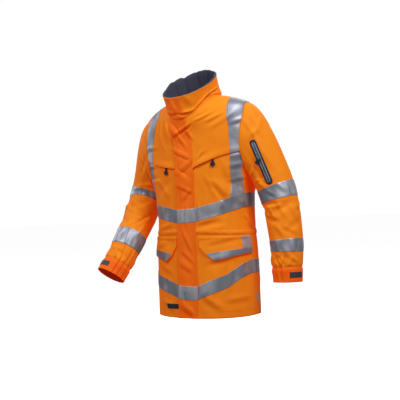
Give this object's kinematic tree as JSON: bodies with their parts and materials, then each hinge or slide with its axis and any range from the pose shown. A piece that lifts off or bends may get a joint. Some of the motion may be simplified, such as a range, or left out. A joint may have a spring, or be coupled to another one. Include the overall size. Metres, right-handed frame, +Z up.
{
  "type": "high-visibility work jacket",
  "caption": "Hip-length orange work jacket, filled out as worn and hollow, with reflective hoops and braces, storm flap, pocket flaps, sleeve zip and stand collar.",
  "frame": {"origin": "on the body's centre line, level with the side neck points, where the wearer's neck and shoulders carry it", "axes": "+Z up, the front faces -Y, the wearer's left is +X"},
  "size_m": [0.7826, 0.3706, 0.9337],
  "materials": {
    "orange_cloth": "coated plain weave, fluorescent orange, matt",
    "reflective_tape": "retroreflective glass-bead tape, satin grey",
    "navy_lining": "soft padded knit, matt dark navy",
    "black_plastic": "moulded, satin blue-black",
    "zip_tape": "woven grey zip tape",
    "tab_grey": "charcoal hook tab, matt",
    "label_black": "woven bare label, matt black",
    "tag_pale": "woven bare tag, pale teal"
  },
  "bodies": {
    "jacket": {"front_left": "orange_cloth", "front_right": "orange_cloth", "yoke_left": "orange_cloth", "yoke_right": "orange_cloth", "back": "orange_cloth", "placket": "orange_cloth", "placket_collar": "orange_cloth", "front_zip": "black_plastic", "collar_outer": "orange_cloth", "collar_lining": "navy_lining", "sleeve_left": "orange_cloth", "sleeve_right": "orange_cloth", "cuff_left": "orange_cloth", "cuff_right": "orange_cloth", "cuff_tab_left": "tab_grey", "cuff_tab_right": "tab_grey", "sleeve_tape_upper_left": "reflective_tape", "sleeve_tape_lower_left": "reflective_tape", "sleeve_tape_upper_right": "reflective_tape", "sleeve_tape_lower_right": "reflective_tape", "chest_tape_left": "reflective_tape", "chest_tape_right": "reflective_tape", "chest_tape_placket": "reflective_tape", "chest_tape_back": "reflective_tape", "hem_tape_left": "reflective_tape", "hem_tape_right": "reflective_tape", "hem_tape_placket": "reflective_tape", "hem_tape_back": "reflective_tape", "brace_low_left": "reflective_tape", "brace_low_right": "reflective_tape", "brace_top_left": "reflective_tape", "brace_top_right": "reflective_tape", "brace_back_left": "reflective_tape", "brace_back_right": "reflective_tape", "waist_band_left": "orange_cloth", "waist_band_right": "orange_cloth", "waist_band_back": "orange_cloth", "pocket_flap_left": "orange_cloth", "pocket_flap_right": "orange_cloth", "flap_tape_left": "reflective_tape", "flap_tape_right": "reflective_tape", "hem_label": "label_black", "side_tag": "tag_pale", "chest_slider_left": "black_plastic", "chest_slider_right": "black_plastic", "sleeve_zip_frame": "black_plastic", "sleeve_zip_tape": "zip_tape", "sleeve_slider": "black_plastic"},
    "pull_chest_left": {"chest_pull_left": "black_plastic"},
    "pull_chest_right": {"chest_pull_right": "black_plastic"},
    "pull_sleeve": {"sleeve_pull": "black_plastic"}
  },
  "joints": [
    {"name": "chest_pull_left_swing", "type": "hinge", "parent": "jacket", "child": "pull_chest_left", "pos_m": [0.11346, -0.14347, -0.24021], "axis": [-0.9545, -0.2981, 0], "range_deg": [0, 120]},
    {"name": "chest_pull_right_swing", "type": "hinge", "parent": "jacket", "child": "pull_chest_right", "pos_m": [-0.0868, -0.14947, -0.26413], "axis": [-0.9865, 0.1635, 0], "range_deg": [0, 120]},
    {"name": "sleeve_pull_swing", "type": "hinge", "parent": "jacket", "child": "pull_sleeve", "pos_m": [0.27388, -0.07846, -0.24388], "axis": [-0.7482, -0.2693, 0.6064], "range_deg": [0, 120]}
  ]
}
